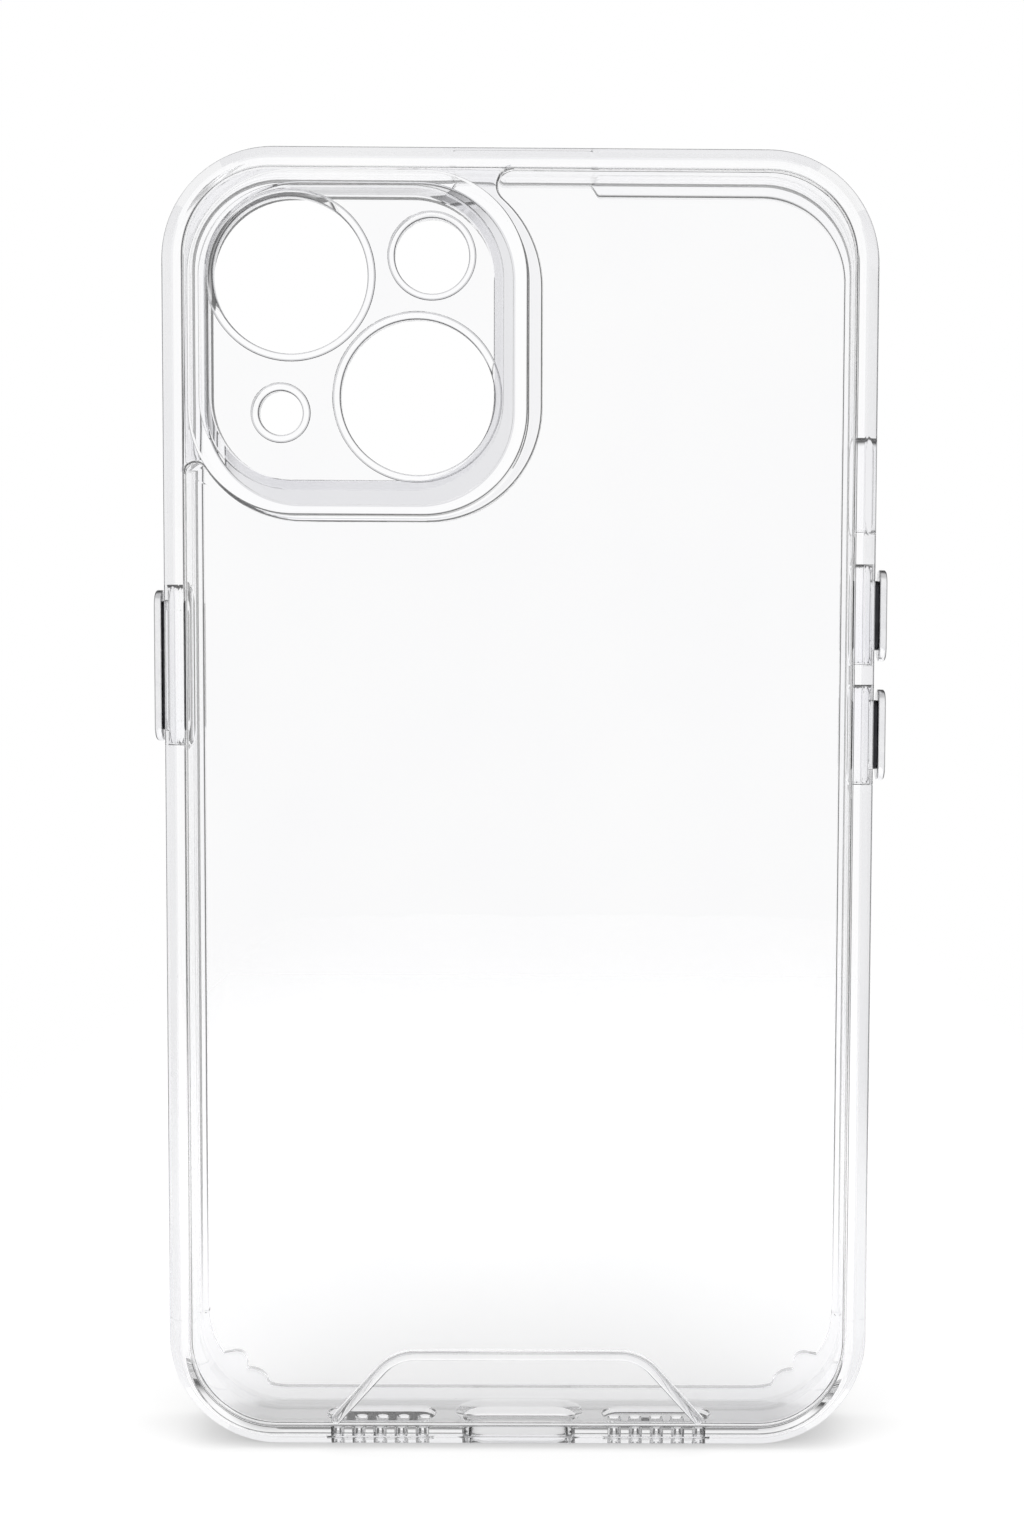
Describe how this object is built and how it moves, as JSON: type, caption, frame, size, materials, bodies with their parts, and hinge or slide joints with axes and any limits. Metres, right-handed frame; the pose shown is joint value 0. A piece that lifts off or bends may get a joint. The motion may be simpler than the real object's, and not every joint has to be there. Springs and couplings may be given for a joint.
{
  "type": "phone case",
  "caption": "Clear hybrid phone case: hard back panel, soft bumper frame, raised camera surround with a lens plate, and metal side keys that press in.",
  "frame": {"origin": "middle of the bottom edge that the case stands on", "axes": "+Z along the length towards the camera end, -Y out of the back, +X towards the volume keys"},
  "size_m": [0.0798, 0.0132, 0.1404],
  "materials": {
    "hard_clear": "clear hard plastic, polished",
    "soft_clear": "clear flexible plastic, glossy",
    "bevel_clear": "clear plastic with a polished bevel",
    "key_metal": "bright satin, polished edges"
  },
  "bodies": {
    "case": {"back_panel": "hard_clear", "bumper_frame": "soft_clear", "camera_surround": "soft_clear", "lens_plate": "hard_clear", "upper_lens_bezel": "bevel_clear", "lower_lens_bezel": "bevel_clear", "flash_bezel": "bevel_clear", "microphone_bezel": "bevel_clear", "bottom_rib": "soft_clear"},
    "power_key": {"power_key_cap": "key_metal", "power_key_carrier": "soft_clear"},
    "volume_up_key": {"volume_up_key_cap": "key_metal", "volume_up_key_carrier": "soft_clear"},
    "volume_down_key": {"volume_down_key_cap": "key_metal", "volume_down_key_carrier": "soft_clear"}
  },
  "joints": [
    {"name": "power_key_press", "type": "slide", "parent": "case", "child": "power_key", "axis": [1, 0, 0], "range_m": [0, 0.0006], "stiffness_N_per_m": 900},
    {"name": "volume_up_key_press", "type": "slide", "parent": "case", "child": "volume_up_key", "axis": [-1, 0, 0], "range_m": [0, 0.0006], "stiffness_N_per_m": 900},
    {"name": "volume_down_key_press", "type": "slide", "parent": "case", "child": "volume_down_key", "axis": [-1, 0, 0], "range_m": [0, 0.0006], "stiffness_N_per_m": 900}
  ]
}
